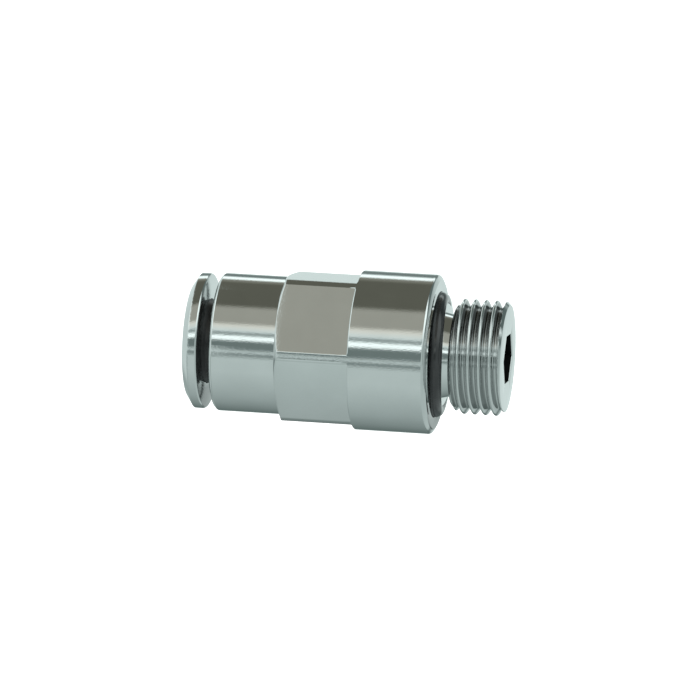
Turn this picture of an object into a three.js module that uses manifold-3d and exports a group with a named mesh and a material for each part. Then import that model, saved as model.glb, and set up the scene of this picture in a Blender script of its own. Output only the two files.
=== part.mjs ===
// Straight male push-to-connect fitting: parallel G1/8 stud, socket for a 6 mm tube.
// Millimetres. The axis is X, with the stud end at +X. The origin is on the axis, at mid length.
import * as THREE from "three";
import { mergeVertices } from "three/addons/utils/BufferGeometryUtils.js";
import Module from "manifold-3d";

const wasm = await Module();
wasm.setup();

// Overall
const SEGMENTS = 48;
const LENGTH = 27.0;
const STUD_LENGTH = 6.2;
const FACE_X = LENGTH / 2 - STUD_LENGTH;

const WELD_TOLERANCE = 0.002;

// Body, outside. Each x is measured from the end of the large cylinder, towards the stud end.
const LARGE_R = 6.75;
const LARGE_START = -6.42;
const HEX_ACROSS_FLATS = 12.0;
const HEX_START = -12.78;
const HEX_CHAMFER_X = 0.36;
const HEX_CHAMFER_R = 0.8;
const FRONT_R = 5.85;
const FRONT_START = -18.4;
const EDGE_CHAMFER = 0.2;
const SEALING_FACE = 0.24;
const SEALING_FACE_R = 6.25;

// Stud
const SEAL_GROOVE_BACK = -0.4;
const SEAL_GROOVE_OUTER_R = 5.33;
const SEAL_GROOVE_FLOOR_R = 4.2;
const LIP_START = 0.66;
const LIP_END = 0.78;
const LIP_R = 5.1;
const NECK_R = 3.42;
const THREAD_START = 1.73;
const THREAD_MAJOR_R = 4.864;
const THREAD_PITCH = 0.907;
const THREAD_DEPTH = 0.581;
const THREAD_START_CHAMFER = 0.58;
const THREAD_END_CHAMFER = 0.36;
const THREAD_CREST_AT_TOP = 4.17;
const KEY_ACROSS_FLATS = 4.0;
const KEY_DEPTH = 4.0;

// Bore
const MOUTH_R = 5.0;
const MOUTH_END = -13.0;
const SEAL_BORE_R = 4.45;
const SEAL_BORE_END = -10.65;
const TUBE_BORE_R = 3.08;
const TUBE_STOP = -4.2;
const FLOW_R = 1.9;

// Release button and sleeve
const BUTTON_FRONT = -20.8;
const BUTTON_BACK = -19.4;
const BUTTON_R = 5.75;
const BUTTON_FRONT_R = 4.9;
const BUTTON_CONE_X = 0.57;
const BUTTON_BACK_CHAMFER = 0.08;
const BUTTON_SEAT = -20.25;
const SLEEVE_R = 3.6;
const SLEEVE_BORE_R = 3.12;
const SLEEVE_SHOULDER_R = 4.25;
const SLEEVE_SHOULDER_START = -17.13;
const SLEEVE_SHOULDER_END = -16.4;
const SLEEVE_NOSE_START = -16.1;
const SLEEVE_NOSE = -15.55;
const SLEEVE_NOSE_R = 3.3;

// Guide ring, gripping ring, support ring, backup ring
const GUIDE_START = -18.2;
const GUIDE_END = -15.2;
const GUIDE_STEP = -17.15;
const GUIDE_BORE_R = 3.68;
const GUIDE_CAGE_R = 4.33;
const GRIP_THICKNESS = 0.3;
const GRIP_RIM_R = 3.95;
const GRIP_TIP_R = 2.98;
const GRIP_TIP_X = 0.95;
const GRIP_FINGERS = 10;
const GRIP_SLOT = 0.5;
const SUPPORT_CONE_START_R = 4.5;
const SUPPORT_CONE_END = -14.0;
const SUPPORT_CONE_END_R = 3.6;
const SUPPORT_STEP = -13.75;
const SUPPORT_BORE_R = 3.12;
const BACKUP_END = -12.35;
const BACKUP_R = 4.4;
const BACKUP_BORE_R = 3.1;

// Seals
const TUBE_SEAL_X = -11.5;
const TUBE_SEAL_R = 3.65;
const TUBE_SEAL_SECTION_R = 0.75;
const STUD_SEAL_X = 0.12;
const STUD_SEAL_R = 4.72;
const STUD_SEAL_SECTION_R = 0.5;

const nickel = new THREE.MeshStandardMaterial({ color: 0xcfd6d5, roughness: 0.12, metalness: 1.0 });
const plainBrass = new THREE.MeshStandardMaterial({ color: 0xc9a65a, roughness: 0.3, metalness: 1.0 });
const stainless = new THREE.MeshStandardMaterial({ color: 0xb9bcbd, roughness: 0.25, metalness: 1.0 });
const blackPlastic = new THREE.MeshStandardMaterial({ color: 0x1c1d1e, roughness: 0.45, metalness: 0.0 });
const paleNylon = new THREE.MeshStandardMaterial({ color: 0xd9d5c8, roughness: 0.5, metalness: 0.0 });
const rubber = new THREE.MeshStandardMaterial({ color: 0x2e3032, roughness: 0.5, metalness: 0.0 });

// Indexed, welded triangles with every zero-area one removed.
function weld(geometry) {
  const plain = geometry.clone();
  plain.deleteAttribute("normal");
  plain.deleteAttribute("uv");
  const merged = mergeVertices(plain, 1e-5);
  const index = [];
  for (let i = 0; i < merged.index.count; i += 3) {
    const a = merged.index.getX(i);
    const b = merged.index.getX(i + 1);
    const c = merged.index.getX(i + 2);
    if (a !== b && b !== c && c !== a) {
      index.push(a, b, c);
    }
  }
  return { positions: Float32Array.from(merged.attributes.position.array), index };
}

function signedVolume(positions, index) {
  const a = new THREE.Vector3();
  const b = new THREE.Vector3();
  const c = new THREE.Vector3();
  let sum = 0;
  for (let i = 0; i < index.length; i += 3) {
    a.fromArray(positions, index[i] * 3);
    b.fromArray(positions, index[i + 1] * 3);
    c.fromArray(positions, index[i + 2] * 3);
    sum += a.dot(b.cross(c)) / 6;
  }
  return sum;
}

// A closed geometry as a manifold solid, with its faces turned outwards.
function solid(geometry) {
  const { positions, index } = weld(geometry);
  if (signedVolume(positions, index) < 0) {
    for (let i = 0; i < index.length; i += 3) {
      [index[i + 1], index[i + 2]] = [index[i + 2], index[i + 1]];
    }
  }
  const triVerts = Uint32Array.from(index);
  return new wasm.Manifold(new wasm.Mesh({ numProp: 3, vertProperties: positions, triVerts }));
}

function toMesh(name, body, material) {
  const data = body.simplify(WELD_TOLERANCE).getMesh();
  const geometry = new THREE.BufferGeometry();
  geometry.setAttribute("position", new THREE.BufferAttribute(new Float32Array(data.vertProperties), 3));
  geometry.setIndex(new THREE.BufferAttribute(new Uint32Array(data.triVerts), 1));
  geometry.computeVertexNormals();
  const mesh = new THREE.Mesh(geometry, material);
  mesh.name = name;
  return mesh;
}

// A solid turned about X from [x, r] points, listed round the section.
function turned(points, segments = SEGMENTS) {
  const profile = points.map(([x, r]) => new THREE.Vector2(r, x));
  const closesOnAxis = points[0][1] === 0 && points[points.length - 1][1] === 0;
  if (!closesOnAxis) {
    profile.push(profile[0].clone());
  }
  const geometry = new THREE.LatheGeometry(profile, segments);
  geometry.rotateZ(-Math.PI / 2);
  return solid(geometry);
}

// A hexagonal bar along X, with flats facing +Z and -Z.
function hexBar(acrossFlats, start, end) {
  const geometry = new THREE.CylinderGeometry(acrossFlats / Math.sqrt(3), acrossFlats / Math.sqrt(3), end - start, 6);
  geometry.rotateZ(-Math.PI / 2);
  geometry.rotateX(Math.PI / 6);
  geometry.translate((start + end) / 2, 0, 0);
  return solid(geometry);
}

// A torus about X, from its circular section.
function rubberRing(x, centreR, sectionR, points = 12) {
  const section = [];
  for (let i = 0; i < points; i += 1) {
    const a = (2 * Math.PI * i) / points;
    section.push([x + sectionR * Math.cos(a), centreR + sectionR * Math.sin(a)]);
  }
  return turned(section);
}

// Radius of the 55 degree thread form at a fraction of one pitch from the crest, with rounded tops.
function threadRadius(fraction) {
  const t = Math.abs(fraction - Math.round(fraction)) * 2;
  const straight = Math.min(1, Math.max(0, (t - 0.17) / 0.66));
  const soft = 0.5 - 0.5 * Math.cos(Math.PI * t);
  return THREAD_MAJOR_R - THREAD_DEPTH * (0.7 * straight + 0.3 * soft);
}

// One-start right-hand screw: a cam-shaped section extruded along X and twisted one turn per pitch.
function screw(start, end) {
  const around = 28;
  const steps = Math.round(((end - start) / THREAD_PITCH) * 11);
  const shape = new THREE.Shape();
  for (let i = 0; i < around; i += 1) {
    const a = (2 * Math.PI * i) / around;
    const r = threadRadius(i / around);
    if (i === 0) {
      shape.moveTo(r * Math.cos(a), r * Math.sin(a));
    } else {
      shape.lineTo(r * Math.cos(a), r * Math.sin(a));
    }
  }
  shape.closePath();
  const geometry = new THREE.ExtrudeGeometry(shape, { depth: end - start, steps, bevelEnabled: false });
  const position = geometry.attributes.position;
  for (let i = 0; i < position.count; i += 1) {
    const x = start + position.getZ(i);
    const turn = (2 * Math.PI * (x - THREAD_CREST_AT_TOP)) / THREAD_PITCH + Math.PI / 2;
    const y = position.getX(i) * Math.cos(turn) - position.getY(i) * Math.sin(turn);
    const z = position.getX(i) * Math.sin(turn) + position.getY(i) * Math.cos(turn);
    position.setXYZ(i, x, y, z);
  }
  return solid(geometry);
}

function threadedEnd() {
  const root = THREAD_MAJOR_R - THREAD_DEPTH;
  const envelope = turned([
    [THREAD_START - 0.5, 0],
    [THREAD_START - 0.5, NECK_R],
    [THREAD_START, NECK_R],
    [THREAD_START, root - 0.1],
    [THREAD_START + THREAD_START_CHAMFER, THREAD_MAJOR_R + 0.05],
    [STUD_LENGTH - THREAD_END_CHAMFER, THREAD_MAJOR_R + 0.05],
    [STUD_LENGTH, THREAD_MAJOR_R - THREAD_END_CHAMFER],
    [STUD_LENGTH, 0],
  ]);
  return screw(THREAD_START - 0.4, STUD_LENGTH + 0.2).intersect(envelope);
}

function bodyBlank() {
  return turned([
    [FRONT_START, 0],
    [FRONT_START, FRONT_R - EDGE_CHAMFER],
    [FRONT_START + EDGE_CHAMFER, FRONT_R],
    [HEX_START, FRONT_R],
    [HEX_START, LARGE_R - HEX_CHAMFER_R],
    [HEX_START + HEX_CHAMFER_X, LARGE_R],
    [0, LARGE_R],
    [SEALING_FACE, SEALING_FACE_R],
    [SEALING_FACE, SEAL_GROOVE_OUTER_R],
    [SEAL_GROOVE_BACK, SEAL_GROOVE_OUTER_R],
    [SEAL_GROOVE_BACK, SEAL_GROOVE_FLOOR_R],
    [LIP_START, SEAL_GROOVE_FLOOR_R],
    [LIP_START, LIP_R],
    [LIP_END, LIP_R],
    [LIP_END, NECK_R],
    [THREAD_START - 0.2, NECK_R],
    [THREAD_START - 0.2, 0],
  ]);
}

function bodyBore() {
  return turned([
    [FRONT_START - 1, 0],
    [FRONT_START - 1, MOUTH_R + 0.25],
    [FRONT_START, MOUTH_R + 0.25],
    [FRONT_START + 0.2, MOUTH_R],
    [MOUTH_END, MOUTH_R],
    [MOUTH_END, SEAL_BORE_R],
    [SEAL_BORE_END, SEAL_BORE_R],
    [SEAL_BORE_END, TUBE_BORE_R],
    [TUBE_STOP, TUBE_BORE_R],
    [TUBE_STOP, FLOW_R],
    [STUD_LENGTH - KEY_DEPTH + 0.2, FLOW_R],
    [STUD_LENGTH - KEY_DEPTH + 0.2, 0],
  ]);
}

function studBody() {
  const milledAway = turned([
    [FRONT_START - 1, 0],
    [FRONT_START - 1, 9],
    [LARGE_START, 9],
    [LARGE_START, 0],
  ]).subtract(hexBar(HEX_ACROSS_FLATS, FRONT_START - 2, LARGE_START + 1));
  const keySocket = hexBar(KEY_ACROSS_FLATS, STUD_LENGTH - KEY_DEPTH, STUD_LENGTH + 1);
  return bodyBlank().subtract(milledAway).add(threadedEnd()).subtract(bodyBore()).subtract(keySocket);
}

function releaseButton() {
  return turned([
    [BUTTON_FRONT, SLEEVE_BORE_R + 0.38],
    [BUTTON_FRONT, BUTTON_FRONT_R],
    [BUTTON_FRONT + BUTTON_CONE_X, BUTTON_R],
    [BUTTON_BACK - BUTTON_BACK_CHAMFER, BUTTON_R],
    [BUTTON_BACK, BUTTON_R - BUTTON_BACK_CHAMFER],
    [BUTTON_BACK, SLEEVE_R + 0.01],
    [BUTTON_SEAT, SLEEVE_R + 0.01],
    [BUTTON_SEAT, SLEEVE_BORE_R],
    [BUTTON_FRONT + 0.38, SLEEVE_BORE_R],
  ]);
}

function releaseSleeve() {
  return turned([
    [BUTTON_SEAT + 0.01, SLEEVE_BORE_R],
    [BUTTON_SEAT + 0.01, SLEEVE_R - 0.1],
    [BUTTON_SEAT + 0.11, SLEEVE_R],
    [SLEEVE_SHOULDER_START, SLEEVE_R],
    [SLEEVE_SHOULDER_START, SLEEVE_SHOULDER_R],
    [SLEEVE_SHOULDER_END, SLEEVE_SHOULDER_R],
    [SLEEVE_NOSE_START, SLEEVE_R],
    [SLEEVE_NOSE, SLEEVE_NOSE_R],
    [SLEEVE_NOSE, SLEEVE_BORE_R],
  ]);
}

function guideRing() {
  return turned([
    [GUIDE_START, GUIDE_BORE_R + 0.15],
    [GUIDE_START, MOUTH_R - 0.01],
    [GUIDE_END, MOUTH_R - 0.01],
    [GUIDE_END, GUIDE_CAGE_R],
    [GUIDE_STEP, GUIDE_CAGE_R],
    [GUIDE_STEP, GUIDE_BORE_R],
    [GUIDE_START + 0.15, GUIDE_BORE_R],
  ]);
}

// Flat rim with fingers that lean inwards and away from the mouth.
function grippingRing() {
  const back = GUIDE_END + 0.01;
  const tip = back + GRIP_TIP_X;
  let ring = turned([
    [back, GRIP_RIM_R],
    [back, MOUTH_R - 0.05],
    [back + GRIP_THICKNESS, MOUTH_R - 0.05],
    [back + GRIP_THICKNESS, GRIP_RIM_R + 0.12],
    [tip + 0.12, GRIP_TIP_R + 0.1],
    [tip, GRIP_TIP_R],
  ]);
  for (let i = 0; i < GRIP_FINGERS; i += 1) {
    const slot = new THREE.BoxGeometry(3, GRIP_SLOT, 2.4);
    slot.translate(tip, 0, GRIP_RIM_R - 0.95);
    slot.rotateX((2 * Math.PI * i) / GRIP_FINGERS);
    ring = ring.subtract(solid(slot));
  }
  return ring;
}

function supportRing() {
  const back = GUIDE_END + GRIP_THICKNESS + 0.02;
  return turned([
    [back, SUPPORT_CONE_START_R],
    [back, MOUTH_R - 0.01],
    [MOUTH_END - 0.01, MOUTH_R - 0.01],
    [MOUTH_END - 0.01, SUPPORT_BORE_R],
    [SUPPORT_STEP, SUPPORT_BORE_R],
    [SUPPORT_STEP, SUPPORT_CONE_END_R],
    [SUPPORT_CONE_END, SUPPORT_CONE_END_R],
  ]);
}

function backupRing() {
  return turned([
    [MOUTH_END, BACKUP_BORE_R],
    [MOUTH_END, BACKUP_R],
    [BACKUP_END, BACKUP_R],
    [BACKUP_END, BACKUP_BORE_R],
  ]);
}

const fitting = new THREE.Group();
const bodyGroup = new THREE.Group();
bodyGroup.add(toMesh("stud_body", studBody(), nickel));
bodyGroup.add(toMesh("guide_ring", guideRing(), nickel));
bodyGroup.add(toMesh("gripping_ring", grippingRing(), stainless));
bodyGroup.add(toMesh("support_ring", supportRing(), plainBrass));
bodyGroup.add(toMesh("backup_ring", backupRing(), paleNylon));
bodyGroup.add(toMesh("tube_seal", rubberRing(TUBE_SEAL_X, TUBE_SEAL_R, TUBE_SEAL_SECTION_R), rubber));
bodyGroup.add(toMesh("stud_o_ring", rubberRing(STUD_SEAL_X, STUD_SEAL_R, STUD_SEAL_SECTION_R), rubber));

const buttonGroup = new THREE.Group();
buttonGroup.add(toMesh("release_button", releaseButton(), nickel));
buttonGroup.add(toMesh("release_sleeve", releaseSleeve(), blackPlastic));

fitting.add(bodyGroup, buttonGroup);
fitting.position.x = FACE_X;

export default fitting;
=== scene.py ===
import math

import bmesh
import bpy
import numpy as np
from mathutils import Matrix, Vector


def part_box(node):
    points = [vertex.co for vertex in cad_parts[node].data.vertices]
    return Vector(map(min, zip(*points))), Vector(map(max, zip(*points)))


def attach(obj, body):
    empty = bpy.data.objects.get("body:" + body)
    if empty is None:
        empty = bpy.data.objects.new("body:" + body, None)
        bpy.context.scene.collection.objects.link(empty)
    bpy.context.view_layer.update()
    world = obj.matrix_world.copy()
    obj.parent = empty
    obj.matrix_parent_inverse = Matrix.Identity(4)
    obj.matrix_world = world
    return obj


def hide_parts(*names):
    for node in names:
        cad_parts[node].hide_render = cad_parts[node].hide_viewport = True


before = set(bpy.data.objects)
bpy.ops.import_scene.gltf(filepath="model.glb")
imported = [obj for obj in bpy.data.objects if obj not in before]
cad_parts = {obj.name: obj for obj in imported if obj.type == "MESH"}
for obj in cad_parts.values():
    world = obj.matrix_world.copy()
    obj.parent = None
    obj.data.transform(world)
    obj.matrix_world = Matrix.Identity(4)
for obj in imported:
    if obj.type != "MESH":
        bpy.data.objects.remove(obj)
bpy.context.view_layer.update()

MM = 0.001
PI = math.pi

# ---------------------------------------------------------------- dimensions, millimetres
# Every x is measured from the end of the large cylinder, towards the stud end, and every r from the axis.
STUD_X = 6.2
FACE_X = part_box("stud_body")[1].x / MM - STUD_X


def turned_size(node):
    """First x, last x and largest radius of a turned CAD node."""
    low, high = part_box(node)
    return low.x / MM - FACE_X, high.x / MM - FACE_X, high.z / MM


# Body, outside
LARGE_R = 6.75
LARGE_X = -6.42
HEX_FLAT = 6.0  # from the axis to a flat
HEX_X = -12.78
CHAMFER_X = 0.36
CHAMFER_R = 0.8
FRONT_R = 5.85
FRONT_X = -18.4
EDGE = 0.2
SEALING_X = 0.24
SEALING_R = 6.25

# Stud
GROOVE_X = -0.5
GROOVE_R = 5.32
GROOVE_FLOOR_R = 4.08
LIP_X = 0.7
LIP_END = 0.78
LIP_R = 5.12
NECK_R = 3.42
THREAD_X = 1.73
PITCH = 0.907
MAJOR_R = 4.864
DEPTH = 0.581
CREST_X = 4.17
TRIANGLE = 0.9605  # height of a sharp 55 degree thread, over its pitch
CREST_ROUNDING = 0.14
START_CHAMFER_R = MAJOR_R - DEPTH - 0.1
START_CHAMFER_SLOPE = 1.26
END_CHAMFER = 0.36
KEY_FLAT = 2.0  # from the axis to a flat
KEY_X = STUD_X - 4.0

# Bore
MOUTH_R = 5.0
MOUTH_X = FRONT_X + 1.0
MOUTH_END = -13.0
SEAL_BORE_R = 4.45
SEAL_BORE_END = -10.65
TUBE_BORE_R = 3.08
TUBE_STOP = -4.2
FLOW_R = 1.9

# Turned pieces, from their CAD nodes
BUTTON_FRONT, BUTTON_BACK, BUTTON_R = turned_size("release_button")
SLEEVE_FRONT, SLEEVE_NOSE, SHOULDER_R = turned_size("release_sleeve")
GUIDE_FRONT, GUIDE_END, GUIDE_R = turned_size("guide_ring")
GRIP_X, GRIP_TIP, GRIP_R = turned_size("gripping_ring")
SUPPORT_X, SUPPORT_END, SUPPORT_R = turned_size("support_ring")
BACKUP_X, BACKUP_END, BACKUP_R = turned_size("backup_ring")
TUBE_SEAL_X, TUBE_SEAL_END, TUBE_SEAL_R = turned_size("tube_seal")

# Release sleeve and button
SLEEVE_R = 3.6
SLEEVE_BORE_R = 3.12
WAIST_R = 3.47
WAIST_X = BUTTON_BACK + 0.3
WAIST_END = BUTTON_BACK + 0.75
WAIST_EASE = 0.35
SHOULDER_X = -17.13
SHOULDER_END = -16.4
NOSE_CONE = 0.55
NOSE_R = 3.3
BUTTON_CONE = 0.57
BUTTON_FRONT_R = 4.9
CAP_FLARE = 0.38
CAP_BORE_R = SLEEVE_R + 0.01
CAP_SEAT = SLEEVE_FRONT - 0.01

# Guide ring, support ring, backup ring
GUIDE_BORE_R = 3.68
GUIDE_FLARE = 0.15
CAGE_X = -17.15
CAGE_R = 4.33
CONE_R = 4.5
CONE_END = SUPPORT_END - 0.99
CONE_END_R = 3.6
SUPPORT_STEP = SUPPORT_END - 0.74
BACKUP_BORE_R = 3.1

# Gripping ring
TEETH = 10
GRIP_RIM_R = 3.95
GRIP_THICKNESS = 0.3
TOOTH_TIP_R = 2.98
TOOTH_THICKNESS = 0.12
TOOTH_HALF_WIDTH = 0.9024


# ---------------------------------------------------------------- mesh building
def rounded(points, steps=4):
    """A closed section with its corners rounded: each point is (x, r) or (x, r, corner radius)."""
    out = []
    n = len(points)
    for i in range(n):
        p = Vector(points[i][:2])
        radius = points[i][2] if len(points[i]) > 2 else 0.0
        if radius <= 0:
            out.append(tuple(p))
            continue
        before = Vector(points[i - 1][:2]) - p
        after = Vector(points[(i + 1) % n][:2]) - p
        a, b = before.normalized(), after.normalized()
        half = a.angle(b) / 2
        reach = min(radius / math.tan(half), 0.45 * before.length, 0.45 * after.length)
        radius = reach * math.tan(half)
        centre = p + (a + b).normalized() * (radius / math.sin(half))
        start = p + a * reach - centre
        end = p + b * reach - centre
        turn = math.atan2(start.x * end.y - start.y * end.x, start.dot(end))
        for k in range(steps + 1):
            t = turn * k / steps
            c, s = math.cos(t), math.sin(t)
            out.append((centre.x + start.x * c - start.y * s, centre.y + start.x * s + start.y * c))
    return out


def place(x, r, phi):
    """Points in metres in the row frame, at x and r; the angles phi are 0 at +Y and 90 degrees at +Z."""
    x = np.broadcast_to(x, phi.shape)
    return np.stack([(x + FACE_X) * MM, r * np.cos(phi) * MM, r * np.sin(phi) * MM], axis=-1)


def circle(x, r, radius, steps=40):
    """A round section."""
    angles = [2 * PI * k / steps for k in range(steps)]
    return [(x + radius * math.cos(a), r + radius * math.sin(a)) for a in angles]


WELD = 2e-7  # metres
ZERO_LENGTH = 1e-8  # metres


def finish_mesh(name, verts, faces, sharp):
    """A piece from its points and faces, smooth apart from edges that turn by more than sharp degrees."""
    mesh = bpy.data.meshes.new(name)
    mesh.from_pydata([tuple(v) for v in verts], [], faces)
    bm = bmesh.new()
    bm.from_mesh(mesh)
    bmesh.ops.remove_doubles(bm, verts=bm.verts, dist=WELD)
    bmesh.ops.dissolve_degenerate(bm, edges=bm.edges, dist=ZERO_LENGTH)
    bmesh.ops.recalc_face_normals(bm, faces=bm.faces)
    if bm.calc_volume(signed=True) < 0:
        bmesh.ops.reverse_faces(bm, faces=bm.faces)
    bm.to_mesh(mesh)
    bm.free()
    mesh.polygons.foreach_set("use_smooth", [True] * len(mesh.polygons))
    mesh.set_sharp_from_angle(angle=math.radians(sharp))
    obj = bpy.data.objects.new(name, mesh)
    bpy.context.scene.collection.objects.link(obj)
    weighted = obj.modifiers.new("weighted", "WEIGHTED_NORMAL")
    weighted.keep_sharp = True
    weighted.weight = 60
    return obj


def loop_faces(rows, columns):
    """Faces of a surface that closes both round X and from its last row to its first."""
    faces = []
    for j in range(rows):
        a, b = j * columns, ((j + 1) % rows) * columns
        for k in range(columns):
            beside = (k + 1) % columns
            faces.append((a + k, a + beside, b + beside, b + k))
    return faces


def loop_surface(name, rows, sharp=32.0):
    """A closed surface through rows of points, each row a ring round X."""
    return finish_mesh(name, np.concatenate(rows), loop_faces(len(rows), len(rows[0])), sharp)


def turned(name, section, segments=256, sharp=32.0):
    """A section turned about the axis."""
    phi = np.linspace(0, 2 * PI, segments, endpoint=False)
    return loop_surface(name, [place(x, r, phi) for x, r in section], sharp)


# ---------------------------------------------------------------- body
COLUMN_STEP = 1.25  # degrees
BESIDE_HEX_EDGE = (-0.8, -0.5, -0.3, -0.15, 0.0, 0.15, 0.3, 0.5, 0.8)
BESIDE_KEY_CORNER = (-0.6, -0.25, 0.25, 0.6)
LEAST_STEP = 0.06


def column_angles():
    """Angles round the axis, closer together beside the edges of the hexagon and the key socket."""
    angles = set(np.round(np.arange(0, 360, COLUMN_STEP), 4))
    edge = math.degrees(math.acos(HEX_FLAT / LARGE_R))
    for middle in range(30, 360, 60):
        for sign in (-1, 1):
            for d in BESIDE_HEX_EDGE:
                angles.add(round((middle + sign * edge + d) % 360, 4))
        for d in BESIDE_KEY_CORNER:
            angles.add(round((middle + 30 + d) % 360, 4))
    kept = []
    for a in sorted(angles):
        if not kept or a - kept[-1] > LEAST_STEP:
            kept.append(a)
    return np.radians(kept)


PHI = column_angles()
ONES = np.ones(len(PHI))
FROM_FLAT = np.degrees(PHI) % 60 - 30  # degrees from the nearest flat's middle


def soft_min(a, b, k):
    """The smaller of a and b, blended over k where they meet."""
    h = np.maximum(k - np.abs(a - b), 0) / k
    return np.minimum(a, b) - h * h * k / 4


def hexagon_r(flat, corner_r, k):
    """Radius, round the axis, of a hexagon whose corners are turned down to corner_r."""
    return soft_min(flat / np.cos(np.radians(FROM_FLAT)), corner_r * ONES, k)


def thread_r(x):
    """55 degree thread form with rounded crests and roots, right-handed along +X."""
    turns = (x - CREST_X) / PITCH - (PHI - PI / 2) / (2 * PI)
    t = np.abs(turns - np.round(turns)) * 2
    sharp_depth = DEPTH / 2 + (t - 0.5) * TRIANGLE * PITCH
    depth = -soft_min(-np.maximum(sharp_depth, -1), 0 * ONES, CREST_ROUNDING)
    depth = soft_min(depth, DEPTH * ONES, CREST_ROUNDING)
    return MAJOR_R - np.maximum(depth, 0)


def ring(x, r):
    """One row of the body; x and r are numbers, or one value for each column."""
    return place(x * ONES, r * ONES, PHI)


def rings(section):
    """The rows of a turned section."""
    return [ring(x, r) for x, r in section]


# In the two sections below the first and last points only give their neighbours' edges a direction.
def front_rows():
    """Front cylinder, from the mouth's edge to the hexagon."""
    section = rounded([
        (MOUTH_X, MOUTH_R), (FRONT_X + EDGE, MOUTH_R, 0.03), (FRONT_X, MOUTH_R + EDGE, 0.03),
        (FRONT_X, FRONT_R - EDGE, 0.05), (FRONT_X + EDGE, FRONT_R, 0.2),
        (HEX_X, FRONT_R), (HEX_X, FRONT_R + 2),
    ])
    return rings(section[1:-1])


def face_rows():
    """Large cylinder's rolled end, sealing face, seal groove, lip and neck."""
    section = rounded([
        (LARGE_X + 0.1, LARGE_R - 0.5), (LARGE_X + 0.1, LARGE_R), (0, LARGE_R, 0.3),
        (SEALING_X, SEALING_R, 0.08), (SEALING_X, GROOVE_R, 0.05),
        (GROOVE_X, GROOVE_R, 0.03), (GROOVE_X, GROOVE_FLOOR_R, 0.03), (LIP_X, GROOVE_FLOOR_R, 0.03),
        (LIP_X, LIP_R, 0.03), (LIP_END, LIP_R, 0.03), (LIP_END, NECK_R + 0.2, 0.06),
        (THREAD_X, NECK_R, 0.06), (THREAD_X, NECK_R + 1.18),
    ])
    return rings(section[1:-1])


def rolled(steps=6):
    """Shares of a turn from 1 down to 0, one for each row of a rolled edge."""
    return [1 - k / steps for k in range(steps + 1)]


def hexagon_rows():
    """A turned cone cut across the flats, then the flats, then the step up to the large cylinder."""
    cone_roll, step_roll, corner = 0.1, 0.09, 0.02
    hexagon = hexagon_r(HEX_FLAT, LARGE_R, 0.04)
    base = LARGE_R - CHAMFER_R
    rows = [ring(HEX_X, base - 0.03), ring(HEX_X + 0.006, base - 0.01)]

    # Rolled edge between the cone and the flats
    meet_x = HEX_X + (hexagon - base) * CHAMFER_X / CHAMFER_R
    lean = math.atan2(CHAMFER_R, CHAMFER_X)
    roll = np.minimum(cone_roll, (hexagon - base) * 0.9)
    reach = roll * math.tan(lean / 2)
    for share in rolled():
        t = lean * share
        rows.append(ring(meet_x + reach - roll * math.sin(t), hexagon - roll + roll * math.cos(t)))

    flat_x = HEX_X + 0.6
    for share in (0.1, 0.5, 0.9):
        rows.append(ring(flat_x + (LARGE_X - flat_x) * share, hexagon))

    # Step up, with its outer edge rolled
    step = LARGE_R - hexagon
    rows.append(ring(LARGE_X - corner, hexagon))
    rows.append(ring(LARGE_X, hexagon + np.minimum(corner, step)))
    roll = np.minimum(step_roll, step * 0.8)
    for share in rolled():
        t = PI / 2 * share
        rows.append(ring(LARGE_X + roll * (1 - math.sin(t)), LARGE_R - roll + roll * math.cos(t)))
    return rows


def thread_rows():
    """Thread, cut by a cone at each end."""
    rows_in_a_pitch = 40
    edge_blend = 0.02
    rows = []
    for x in np.arange(THREAD_X, STUD_X + 1e-6, PITCH / rows_in_a_pitch):
        start_cone = START_CHAMFER_R + (x - THREAD_X) * START_CHAMFER_SLOPE
        end_cone = MAJOR_R - END_CHAMFER + STUD_X - x
        r = soft_min(thread_r(x), start_cone * ONES, edge_blend)
        rows.append(ring(x, soft_min(r, end_cone * ONES, edge_blend)))
    return rows


def key_rows():
    """Stud's end face and the key socket."""
    rim = np.minimum(thread_r(STUD_X), MAJOR_R - END_CHAMFER)
    key = hexagon_r(KEY_FLAT, KEY_FLAT / math.cos(PI / 6) - 0.02, 0.02)
    return [
        ring(STUD_X, rim - 0.015),
        ring(STUD_X, key + 0.03 + 0.5 * (rim - key)),
        ring(STUD_X, key + 0.06),
        ring(STUD_X - 0.012, key + 0.018),
        ring(STUD_X - 0.05, key),
        ring(KEY_X + 0.05, key),
        ring(KEY_X, key - 0.02),
    ]


def bore_rows():
    """Flow bore, tube bore, seal bore and mouth."""
    return rings(rounded([
        (KEY_X, FLOW_R, 0.05), (TUBE_STOP, FLOW_R, 0.08), (TUBE_STOP, TUBE_BORE_R, 0.05),
        (SEAL_BORE_END, TUBE_BORE_R, 0.12), (SEAL_BORE_END, SEAL_BORE_R, 0.05),
        (MOUTH_END, SEAL_BORE_R, 0.05), (MOUTH_END, MOUTH_R, 0.02), (MOUTH_X, MOUTH_R),
    ]))


def stud_body():
    rows = front_rows() + hexagon_rows() + face_rows() + thread_rows() + key_rows() + bore_rows()
    return loop_surface("nickel_body", rows, 40.0)


# ---------------------------------------------------------------- turned pieces and rings
def button():
    return turned("nickel_button", rounded([
        (BUTTON_FRONT, SLEEVE_BORE_R + CAP_FLARE, 0.08), (BUTTON_FRONT, BUTTON_FRONT_R, 0.06),
        (BUTTON_FRONT + BUTTON_CONE, BUTTON_R, 0.05), (BUTTON_BACK, BUTTON_R, 0.22),
        (BUTTON_BACK, CAP_BORE_R), (CAP_SEAT, CAP_BORE_R),
        (CAP_SEAT, SLEEVE_BORE_R, 0.02), (BUTTON_FRONT + CAP_FLARE, SLEEVE_BORE_R, 0.05),
    ]))


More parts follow.
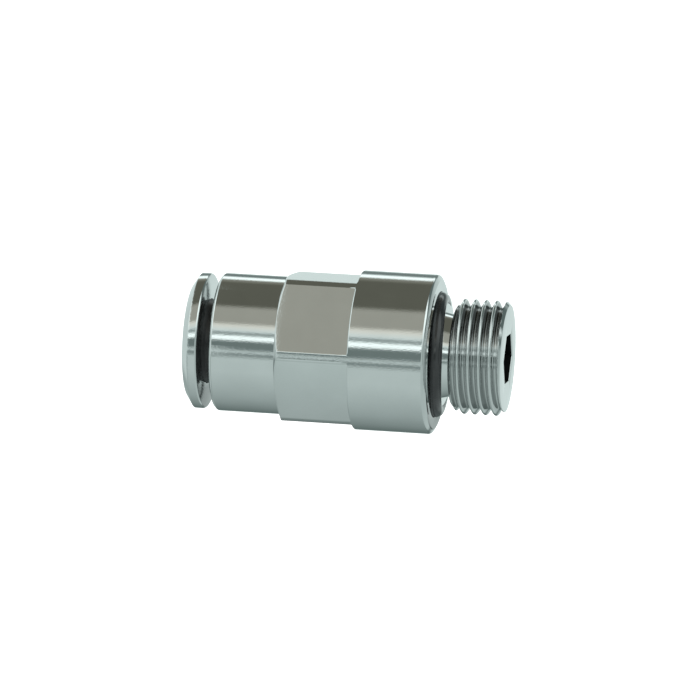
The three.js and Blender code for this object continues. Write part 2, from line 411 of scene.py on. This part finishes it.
def sleeve():
    return turned("plastic_sleeve", rounded([
        (SLEEVE_FRONT, SLEEVE_BORE_R, 0.02), (SLEEVE_FRONT, SLEEVE_R - 0.1, 0.02),
        (SLEEVE_FRONT + 0.1, SLEEVE_R, 0.03), (WAIST_X - WAIST_EASE, SLEEVE_R, 0.2),
        (WAIST_X, WAIST_R, 0.3), (WAIST_END, WAIST_R, 0.3), (WAIST_END + WAIST_EASE, SLEEVE_R, 0.2),
        (SHOULDER_X, SLEEVE_R, 0.05), (SHOULDER_X, SHOULDER_R, 0.06),
        (SHOULDER_END, SHOULDER_R, 0.06), (SLEEVE_NOSE - NOSE_CONE, SLEEVE_R, 0.1),
        (SLEEVE_NOSE, NOSE_R, 0.08), (SLEEVE_NOSE, SLEEVE_BORE_R, 0.05),
    ]))


def guide():
    return turned("nickel_guide", rounded([
        (GUIDE_FRONT, GUIDE_BORE_R + GUIDE_FLARE, 0.03), (GUIDE_FRONT, GUIDE_R, 0.05),
        (GUIDE_END, GUIDE_R, 0.02), (GUIDE_END, CAGE_R, 0.02), (CAGE_X, CAGE_R, 0.04),
        (CAGE_X, GUIDE_BORE_R, 0.03), (GUIDE_FRONT + GUIDE_FLARE, GUIDE_BORE_R, 0.03),
    ]))


def support():
    return turned("brass_support", rounded([
        (SUPPORT_X, CONE_R, 0.02), (SUPPORT_X, SUPPORT_R, 0.02), (SUPPORT_END, SUPPORT_R, 0.03),
        (SUPPORT_END, SLEEVE_BORE_R, 0.03), (SUPPORT_STEP, SLEEVE_BORE_R, 0.04),
        (SUPPORT_STEP, CONE_END_R, 0.03), (CONE_END, CONE_END_R, 0.03),
    ]))


def backup():
    return turned("plastic_backup", rounded([
        (BACKUP_X, BACKUP_BORE_R, 0.04), (BACKUP_X, BACKUP_R, 0.04),
        (BACKUP_END, BACKUP_R, 0.04), (BACKUP_END, BACKUP_BORE_R, 0.04),
    ]))


def tube_seal():
    section_r = (TUBE_SEAL_END - TUBE_SEAL_X) / 2
    section = circle(TUBE_SEAL_X + section_r, TUBE_SEAL_R - section_r, section_r)
    return turned("rubber_tube_seal", section, sharp=80)


def stud_seal():
    """A round ring, seated in its groove on the far side and slipping over the lip on the -Y side."""
    section_r, centre_r = 0.59, 4.7
    seated_x, slip = 0.12, 0.62
    phi = np.linspace(0, 2 * PI, 320, endpoint=False)
    slipped_x = slip * (0.5 - 0.5 * np.cos(phi)) ** 1.4
    rows = [place(x + slipped_x, r, phi) for x, r in circle(seated_x, centre_r, section_r, 44)]
    seal = loop_surface("rubber_stud_seal", rows, 80)
    seal.visible_glossy = False  # keeps the face beside it bright
    return seal


def gripping_ring():
    """A flat rim and leaning teeth, each tooth a closed strip whose root is inside the rim."""
    rim = rounded([
        (GRIP_X, GRIP_RIM_R, 0.03), (GRIP_X, GRIP_R, 0.04),
        (GRIP_X + GRIP_THICKNESS, GRIP_R, 0.04), (GRIP_X + GRIP_THICKNESS, GRIP_RIM_R, 0.03),
    ], 3)
    tooth = rounded([
        (GRIP_X + 0.02, GRIP_RIM_R + 0.1), (GRIP_X + 0.24, GRIP_RIM_R + 0.25),
        (GRIP_TIP - 0.01, TOOTH_TIP_R + TOOTH_THICKNESS, 0.03),
        (GRIP_TIP - TOOTH_THICKNESS, TOOTH_TIP_R, 0.015),
    ], 3)
    segments, strips, m = 256, 8, len(tooth)
    phi = np.linspace(0, 2 * PI, segments, endpoint=False)
    verts = [point for x, r in rim for point in place(x, r, phi)]
    faces = loop_faces(len(rim), segments)
    for i in range(TEETH):
        middle = 2 * PI * (i + 0.5) / TEETH
        start = len(verts)
        for k in range(strips + 1):
            aside = (2 * k / strips - 1) * TOOTH_HALF_WIDTH
            for x, r in tooth:
                verts.extend(place(x, r, np.array([middle + aside / r])))
        for k in range(strips):
            a, b = start + k * m, start + (k + 1) * m
            for j in range(m):
                beside = (j + 1) % m
                faces.append((a + j, b + j, b + beside, a + beside))
        faces.append(tuple(start + j for j in range(m)))
        faces.append(tuple(start + strips * m + j for j in reversed(range(m))))
    return finish_mesh("steel_teeth", verts, faces, 35.0)


# ---------------------------------------------------------------- materials
def linear(*rgb):
    """Scene-linear colour of red, green and blue values from 0 to 255."""
    out = []
    for v in rgb:
        v = v / 255
        out.append(v / 12.92 if v <= 0.04045 else ((v + 0.055) / 1.055) ** 2.4)
    return (*out, 1.0)


BUMP_DEPTH = 0.00002  # metres


class Nodes:
    """Short calls for building a node tree."""

    def __init__(self, tree):
        self.tree = tree
        tree.nodes.clear()

    def add(self, kind, inputs=None, **settings):
        node = self.tree.nodes.new(kind)
        for key, value in settings.items():
            setattr(node, key, value)
        for key, value in (inputs or {}).items():
            if isinstance(value, bpy.types.NodeSocket):
                self.tree.links.new(value, node.inputs[key])
            else:
                node.inputs[key].default_value = value
        return node

    def position(self):
        return self.add("ShaderNodeTexCoord").outputs["Object"]

    def scaled(self, vector, scale):
        return self.add("ShaderNodeMapping", {"Vector": vector, "Scale": scale}).outputs[0]

    def parts(self, vector):
        return self.add("ShaderNodeSeparateXYZ", {0: vector}).outputs

    def math(self, operation, a, b=0.0):
        return self.add("ShaderNodeMath", {0: a, 1: b}, operation=operation).outputs[0]

    def above(self, value, limit):
        return self.math("GREATER_THAN", value, limit)

    def below(self, value, limit):
        return self.math("LESS_THAN", value, limit)

    def all_of(self, *shares):
        """The product of shares from 0 to 1."""
        product = shares[0]
        for share in shares[1:]:
            product = self.math("MULTIPLY", product, share)
        return product

    def dot(self, a, b):
        return self.add("ShaderNodeVectorMath", {0: a, 1: b}, operation="DOT_PRODUCT").outputs["Value"]

    def carry(self, value, low, high, to_low=0.0, to_high=1.0, **settings):
        """value from low to high, carried to to_low to to_high and held at both ends."""
        inputs = {0: value, 1: low, 2: high, 3: to_low, 4: to_high}
        return self.add("ShaderNodeMapRange", inputs, **settings).outputs[0]

    def mix(self, share, a, b):
        return self.add("ShaderNodeMix", {0: share, 2: a, 3: b}).outputs[0]

    def mix_colour(self, share, a, b):
        return self.add("ShaderNodeMix", {0: share, "A": a, "B": b}, data_type="RGBA").outputs[2]

    def noise(self, vector, scale, detail):
        inputs = {"Vector": vector, "Scale": scale, "Detail": detail}
        return self.add("ShaderNodeTexNoise", inputs).outputs["Fac"]

    def bump(self, height, strength):
        inputs = {"Strength": strength, "Distance": BUMP_DEPTH, "Height": height}
        return self.add("ShaderNodeBump", inputs).outputs[0]

    def ramp(self, value, stops):
        node = self.add("ShaderNodeValToRGB", {0: value})
        elements = node.color_ramp.elements
        while len(elements) > 1:
            elements.remove(elements[-1])
        elements[0].position = stops[0][0]
        elements[0].color = stops[0][1]
        for position, colour in stops[1:]:
            elements.new(position).color = colour
        return node.outputs[0]

    def surface(self, colour, roughness, normal, metallic=0.0):
        shader = self.add("ShaderNodeBsdfPrincipled", {
            "Base Color": colour, "Roughness": roughness, "Normal": normal, "Metallic": metallic,
        })
        self.add("ShaderNodeOutputMaterial", {"Surface": shader.outputs[0]})


def material(name):
    mat = bpy.data.materials.new(name)
    mat.use_nodes = True
    return mat, Nodes(mat.node_tree)


NICKEL_LOW = (0.605, 0.62, 0.618, 1)
NICKEL_HIGH = (0.635, 0.65, 0.648, 1)
# Painted shade: near-black colour for the key socket and the flow bore
PAINTED_BORE_SHADE = (0.006, 0.006, 0.006, 1)
SOCKET_R = 2.45


def painted_shade_of_nickel(n, x, z, radius):
    """Painted shade that the plating's colour is multiplied by: less than 1 where it looks darker than its
    mirror image.
    """
    # Painted shade: the thread's grooves are painted darker than its crests, most of all on the upper side
    depth = n.carry(radius, (MAJOR_R - 0.1) * MM, (MAJOR_R - 0.22) * MM)
    past_neck = n.above(x, (FACE_X + THREAD_X - 0.05) * MM)
    before_end = n.below(x, (FACE_X + STUD_X - 0.4) * MM)
    groove = n.all_of(past_neck, before_end, depth)
    painted_groove_shade = n.mix(groove, 1.0, n.carry(z, 1.4 * MM, 2.6 * MM, 0.85, 0.3))

    # Painted light and shade: the hexagon's lower faces are painted a little brighter at the top and darker
    # downwards
    on_hexagon = n.all_of(n.above(x, (FACE_X + HEX_X) * MM), n.below(x, (FACE_X + LARGE_X) * MM))
    underside = n.all_of(on_hexagon, n.below(z, -0.5 * MM))
    painted_underside_shade = n.mix(underside, 1.0, n.carry(z, -0.5 * MM, -6.5 * MM, 1.12, 0.82))

    # Painted shade: faces that look towards the stud are painted dark low down, when they are seen edge-on
    normal = n.add("ShaderNodeNewGeometry").outputs["Normal"]
    edge_on = n.carry(n.add("ShaderNodeLayerWeight").outputs["Facing"], 0.6, 0.8)
    to_stud = n.all_of(n.above(n.parts(normal)[0], 0.9), n.below(x, (FACE_X + 0.5) * MM))
    painted_crescent_shade = n.mix(n.all_of(to_stud, edge_on), 1.0, n.carry(z, -2.6 * MM, -3.9 * MM, 1.0, 0.04))
    return n.all_of(painted_groove_shade, painted_underside_shade, painted_crescent_shade)


def nickel_material():
    """Bright nickel plate with a fine grain and uneven gloss; in the socket and flow bore it is rough and
    painted dark as shade.
    """
    mat, n = material("nickel_plate_look")
    where = n.position()
    x, y, z = n.parts(where)
    radius = n.math("SQRT", n.math("ADD", n.math("MULTIPLY", y, y), n.math("MULTIPLY", z, z)))

    streaks = n.noise(n.scaled(where, (6000.0, 9000.0, 9000.0)), 1.0, 2.0)
    fine = n.noise(where, 9000.0, 2.0)
    broad = n.noise(where, 420.0, 4.0)
    grain = n.math("ADD", streaks, n.math("MULTIPLY", fine, 0.5))
    tint = n.ramp(broad, [(0.3, NICKEL_LOW), (0.7, NICKEL_HIGH)])
    rough = n.carry(broad, 0.3, 0.7, 0.04, 0.07)

    # Painted shade: the key socket and the flow bore are painted near black, and made rough
    past_stop = n.above(x, (FACE_X + TUBE_STOP - 0.1) * MM)
    behind_face = n.below(x, (FACE_X + STUD_X - 0.04) * MM)
    inside = n.all_of(n.below(radius, SOCKET_R * MM), behind_face, past_stop)
    colour = n.mix_colour(inside, tint, PAINTED_BORE_SHADE)
    # Painted shade from the thread's grooves, the hexagon's lower faces and edge-on crescents scales the
    # colour
    shade = painted_shade_of_nickel(n, x, z, radius)
    colour = n.add("ShaderNodeVectorMath", {0: colour, "Scale": shade}, operation="SCALE").outputs[0]
    n.surface(colour, n.mix(inside, rough, 0.5), n.bump(grain, 0.17), metallic=1.0)
    return mat


def rubber_material():
    """Black nitrile rubber, slightly oily, with a fine moulded grain."""
    mat, n = material("seal_rubber_look")
    where = n.position()
    patches = n.noise(where, 900.0, 3.0)
    colour = n.ramp(patches, [(0.35, linear(30, 32, 33)), (0.65, linear(39, 41, 42))])
    rough = n.carry(patches, 0.3, 0.7, 0.13, 0.22)
    n.surface(colour, rough, n.bump(n.noise(where, 5200.0, 3.0), 0.12))
    return mat


def plastic_material(name, low, high, rough):
    """Moulded plastic: one grain shows in colour, gloss and bump."""
    mat, n = material(name)
    grain = n.noise(n.position(), 2600.0, 4.0)
    colour = n.ramp(grain, [(0.35, low), (0.65, high)])
    uneven = n.carry(grain, 0.3, 0.7, rough - 0.05, rough + 0.08)
    n.surface(colour, uneven, n.bump(grain, 0.12))
    return mat


def machined_material(name, low, high, rough):
    """Bare turned metal: rings round the axis show in colour, gloss and bump."""
    mat, n = material(name)
    fine = n.noise(n.scaled(n.position(), (14000.0, 200.0, 200.0)), 1.0, 4.0)
    colour = n.ramp(fine, [(0.3, low), (0.7, high)])
    uneven = n.carry(fine, 0.3, 0.7, rough - 0.06, rough + 0.08)
    n.surface(colour, uneven, n.bump(fine, 0.2), metallic=1.0)
    return mat


nickel = nickel_material()
rubber = rubber_material()
black_plastic = plastic_material("black_acetal_look", linear(24, 25, 26), linear(33, 34, 35), 0.32)
pale_plastic = plastic_material("pale_nylon_look", linear(214, 210, 196), linear(226, 222, 208), 0.45)
brass = machined_material("machined_brass_look", (0.68, 0.5, 0.24, 1), (0.78, 0.6, 0.32, 1), 0.25)
steel = machined_material("spring_steel_look", (0.52, 0.52, 0.52, 1), (0.62, 0.62, 0.61, 1), 0.24)

ASSEMBLY = [
    # piece, body, node, slot, material
    (stud_body, "body", "stud_body", "nickel_plate", nickel),
    (guide, "body", "guide_ring", "nickel_plate", nickel),
    (gripping_ring, "body", "gripping_ring", "stainless_spring", steel),
    (support, "body", "support_ring", "plain_brass", brass),
    (backup, "body", "backup_ring", "pale_plastic", pale_plastic),
    (tube_seal, "body", "tube_seal", "seal_rubber", rubber),
    (stud_seal, "body", "stud_o_ring", "seal_rubber", rubber),
    (button, "button", "release_button", "nickel_plate", nickel),
    (sleeve, "button", "release_sleeve", "black_plastic", black_plastic),
]
for make, body, node, slot, look in ASSEMBLY:
    piece = make()
    piece.data.materials.append(look)
    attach(piece, body)
    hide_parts(node)

# ---------------------------------------------------------------- camera
AXIS_TOWARDS_CAMERA = math.radians(9.7)
AXIS_DOWN = math.radians(3.465)
ROLL_OF_FLAT = math.radians(7.4)
LENS = 351.8
# Centre of the large cylinder's end, millimetres in camera space
FACE_SEEN = Vector((7.183, -0.371, -576.65))


def camera_to_row():
    """Turns camera space (right, up, towards the camera) into the row frame."""
    ca, sa = math.cos(AXIS_TOWARDS_CAMERA), math.sin(AXIS_TOWARDS_CAMERA)
    ct, st = math.cos(AXIS_DOWN), math.sin(AXIS_DOWN)
    axis_x = Vector((ca * ct, -ca * st, sa))
    across = Vector((st, ct, 0))
    nearer = Vector((-sa * ct, sa * st, ca))
    axis_z = math.cos(ROLL_OF_FLAT) * across + math.sin(ROLL_OF_FLAT) * nearer
    return Matrix((axis_x, axis_z.cross(axis_x), axis_z))


to_row = camera_to_row()
camera_data = bpy.data.cameras.new("camera")
camera_data.sensor_width = 36.0
camera_data.lens = LENS
camera_data.clip_start = 0.05
camera_data.clip_end = 10.0
camera = bpy.data.objects.new("camera", camera_data)
bpy.context.scene.collection.objects.link(camera)
camera_place = (Vector((FACE_X, 0, 0)) - to_row @ FACE_SEEN) * MM
camera.matrix_world = Matrix.Translation(camera_place) @ to_row.to_4x4()
bpy.context.scene.camera = camera

# ---------------------------------------------------------------- studio
# The studio is wrapped round the part's axis. A surface is (first degree, last degree, grey from 0 to 255),
# counted from the far horizon, over the top, down on the camera's side and back underneath. The light changes
# evenly from one surface to the next.
GAIN = 1.6
STUDIO_TILT = math.radians(19.3)
FIRST_DEGREE = -20
WARM_DEGREES = (30, 135)
WARM = (1, 2, -7)
COOL = (-9, 3, 1)

AROUND = [
    (-20, -3, 190),  # wall behind the part
    (0, 15, 110),  # dark edge over it
    (22, 27, 255),  # lamp above the wall
    (32, 35, 115),  # the lamp's dim rim
    (42, 93, 85),  # dark ceiling
    (100, 125, 145),  # grey ceiling, nearer the camera
    (131, 140, 205),  # pale card
    (143, 146, 145),  # gap between the card and the next lamp
    (150, 154, 255),  # lamp over the camera
    (158, 170, 110),  # dark room beside the camera
    (176, 177, 185),  # bright edge of the table
    (179, 182, 125),  # its shadow
    (188, 212, 180),  # table
    (270, 270, 150),
    (318, 325, 95),  # dark gap at the back of the table
    (335, 340, 190),  # foot of the wall
]

# Left and right ends of the studio: a bright side wall, and what is beyond it at the very end
LEFT_WALL = [(-20, 50, 195), (70, 125, 250), (150, 180, 195), (192, 340, 145)]
LEFT_END = [(-20, 340, 190)]
RIGHT_WALL = [(-20, 0, 180), (20, 66, 95), (85, 125, 250), (155, 340, 170)]
RIGHT_END = [(-20, 0, 180), (15, 186, 100), (194, 340, 165)]
STUD_END_WALL = [(-20, 340, 160)]

world = bpy.data.worlds.new("studio")
world.use_nodes = True
bpy.context.scene.world = world
w = Nodes(world.node_tree)
direction = w.add("ShaderNodeTexCoord").outputs["Generated"]
sideways = w.parts(direction)[0]
up = to_row @ Vector((0, math.cos(STUDIO_TILT), math.sin(STUDIO_TILT)))
away = to_row @ Vector((0, math.sin(STUDIO_TILT), -math.cos(STUDIO_TILT)))
turn = w.math("ARCTAN2", w.dot(direction, tuple(up)), w.dot(direction, tuple(away)))
turn_degrees = w.math("MULTIPLY", turn, 180 / PI)
degrees = w.math("MODULO", w.math("ADD", turn_degrees, 360.0 - FIRST_DEGREE), 360.0)  # 0 at FIRST_DEGREE
share_of_turn = w.math("DIVIDE", degrees, 360.0)


def studio_ramp(surfaces, warm=COOL):
    """Surfaces as a colour ramp round the axis, tinted warm within WARM_DEGREES and cool elsewhere."""
    stops = []
    for first, last, grey in surfaces:
        for degree in sorted({first, last}):
            tint = warm if WARM_DEGREES[0] < degree < WARM_DEGREES[1] else COOL
            stops.append(((degree - FIRST_DEGREE) / 360, linear(*(grey + t for t in tint))))
    return w.ramp(share_of_turn, stops)


def blend_in(base, surfaces, start, full):
    """Surfaces that take over from base as the direction turns sideways from start to full."""
    share = w.carry(sideways, start, full, interpolation_type="SMOOTHSTEP")
    return w.mix_colour(share, base, studio_ramp(surfaces))


studio = studio_ramp(AROUND, WARM)
studio = blend_in(studio, LEFT_WALL, -0.24, -0.34)
studio = blend_in(studio, LEFT_END, -0.62, -0.8)
studio = blend_in(studio, RIGHT_WALL, 0.24, 0.34)
studio = blend_in(studio, RIGHT_END, 0.84, 0.94)
studio = blend_in(studio, STUD_END_WALL, 0.95, 0.985)

SOFT_FILL = (0.56, 0.56, 0.56, 1)
WHITE = (1, 1, 1, 1)
seen = w.add("ShaderNodeLightPath").outputs
lit = w.mix_colour(seen["Is Diffuse Ray"], studio, SOFT_FILL)
backdrop = w.mix_colour(seen["Is Camera Ray"], lit, WHITE)
background = w.add("ShaderNodeBackground", {"Color": backdrop, "Strength": GAIN})
w.add("ShaderNodeOutputWorld", {"Surface": background.outputs[0]})


def floor():
    """Plain pale floor under the part, clear when it is seen from below."""
    half = 1.5
    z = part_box("stud_body")[0].z - 0.00002
    mesh = bpy.data.meshes.new("floor")
    corners = [(-half, -half, z), (half, -half, z), (half, half, z), (-half, half, z)]
    mesh.from_pydata(corners, [], [(0, 1, 2, 3)])
    obj = bpy.data.objects.new("floor", mesh)
    bpy.context.scene.collection.objects.link(obj)
    look, f = material("floor_look")
    matte = f.add("ShaderNodeBsdfDiffuse", {"Color": (0.9, 0.9, 0.9, 1)}).outputs[0]
    glow = f.add("ShaderNodeEmission", {"Color": WHITE, "Strength": GAIN}).outputs[0]
    clear = f.add("ShaderNodeBsdfTransparent").outputs[0]
    from_below = f.add("ShaderNodeNewGeometry").outputs["Backfacing"]
    pale = f.add("ShaderNodeMixShader", {0: 0.88, 1: matte, 2: glow}).outputs[0]
    shown = f.add("ShaderNodeMixShader", {0: from_below, 1: pale, 2: clear}).outputs[0]
    f.add("ShaderNodeOutputMaterial", {"Surface": shown})
    mesh.materials.append(look)
    obj.visible_glossy = False
    return obj


floor()
bpy.context.scene.view_settings.view_transform = "Standard"
